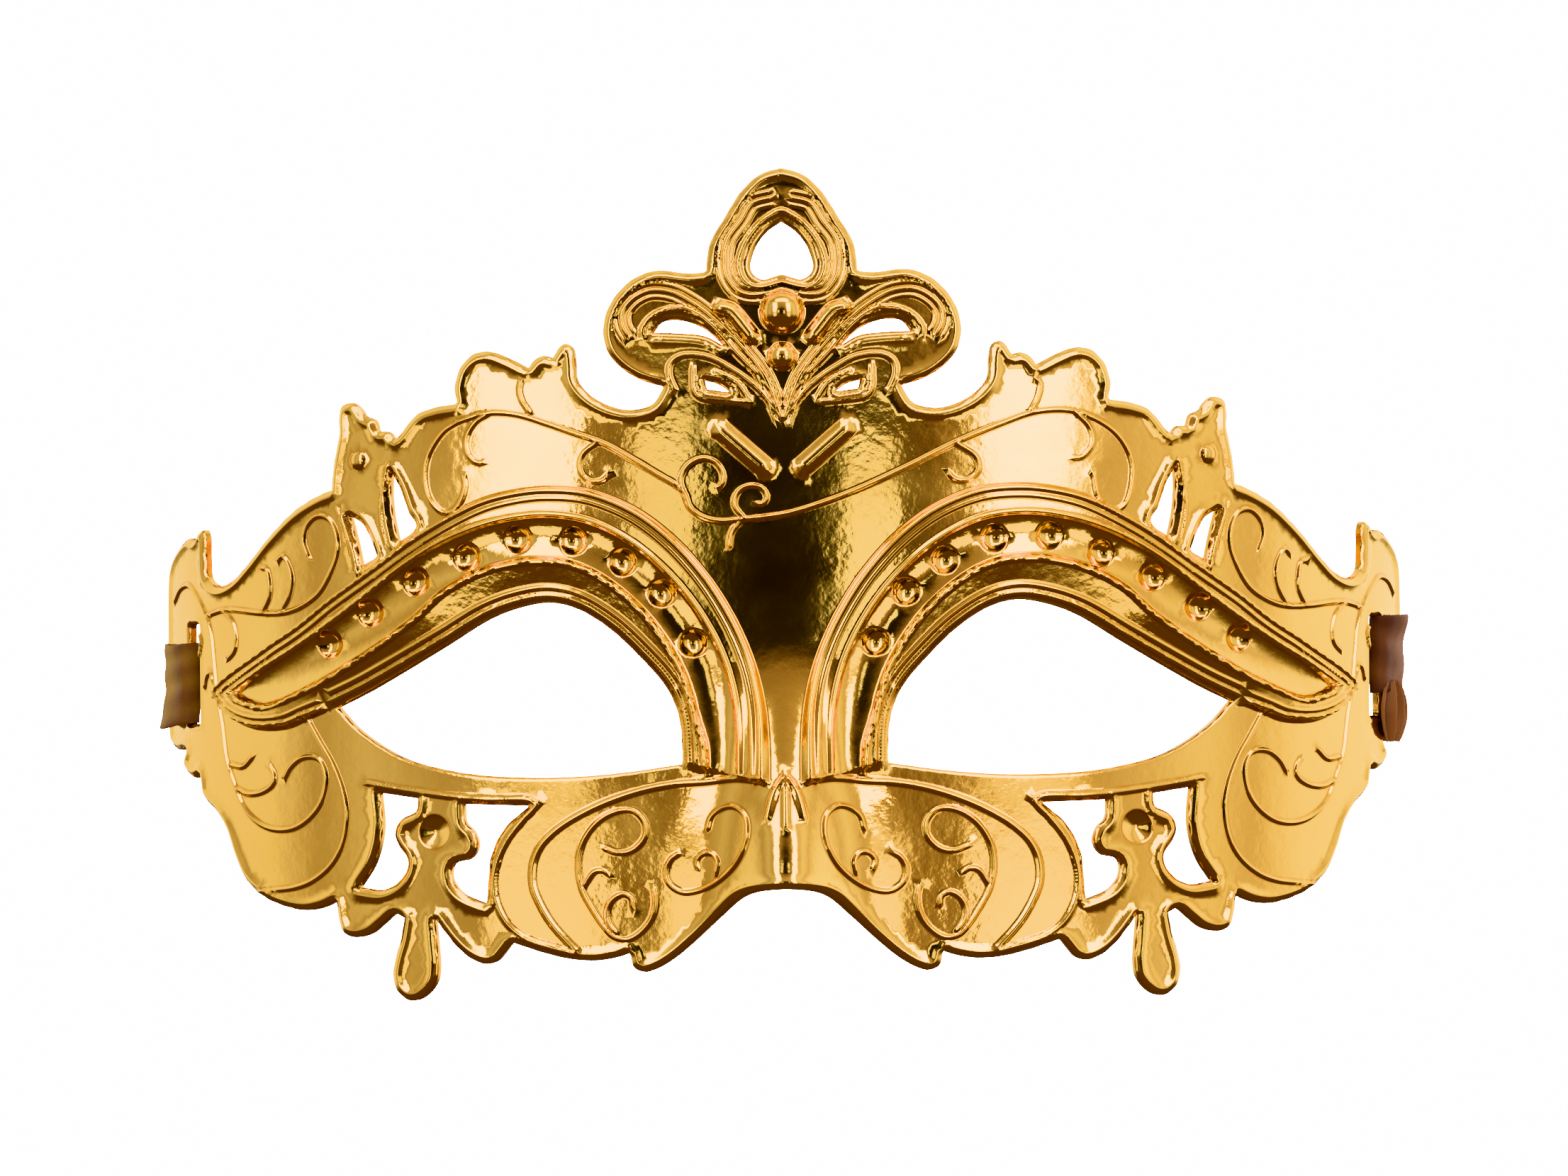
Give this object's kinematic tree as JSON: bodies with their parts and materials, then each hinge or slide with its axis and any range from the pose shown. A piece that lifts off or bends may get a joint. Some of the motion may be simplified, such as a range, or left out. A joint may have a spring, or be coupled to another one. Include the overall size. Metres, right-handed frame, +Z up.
{
  "type": "masquerade half mask",
  "caption": "Moulded ornamental half mask that covers the eyes and the bridge of the nose, with a satin ribbon tied through a slot at each wing end.",
  "frame": {"origin": "on the inner face of the wall at the bridge of the nose, in the middle of the mask and level with the eyes", "axes": "+X across the face to the right seen from the front, +Z up, -Y out of the front of the mask"},
  "size_m": [0.1718, 0.0617, 0.1131],
  "materials": {
    "gold_plated_plastic": "mirror gold metallised plastic",
    "left_satin": "bronze satin ribbon",
    "right_satin": "maroon brown satin ribbon"
  },
  "bodies": {
    "mask": {"mask_shell": "gold_plated_plastic", "left_ribbon_loop": "left_satin", "left_ribbon_knot": "left_satin", "right_ribbon_loop": "right_satin", "right_ribbon_knot": "right_satin", "right_ribbon_fold": "right_satin"},
    "left_tail": {"left_ribbon_tail": "left_satin"},
    "right_tail": {"right_ribbon_tail": "right_satin"}
  },
  "joints": [
    {"name": "left_ribbon_swing", "type": "hinge", "parent": "mask", "child": "left_tail", "pos_m": [-0.07556, 0.05039, 0.0025], "axis": [0, 0, 1], "range_deg": [0, 140]},
    {"name": "right_ribbon_swing", "type": "hinge", "parent": "mask", "child": "right_tail", "pos_m": [0.07556, 0.05039, 0.0043], "axis": [0, 0, -1], "range_deg": [0, 140]}
  ]
}
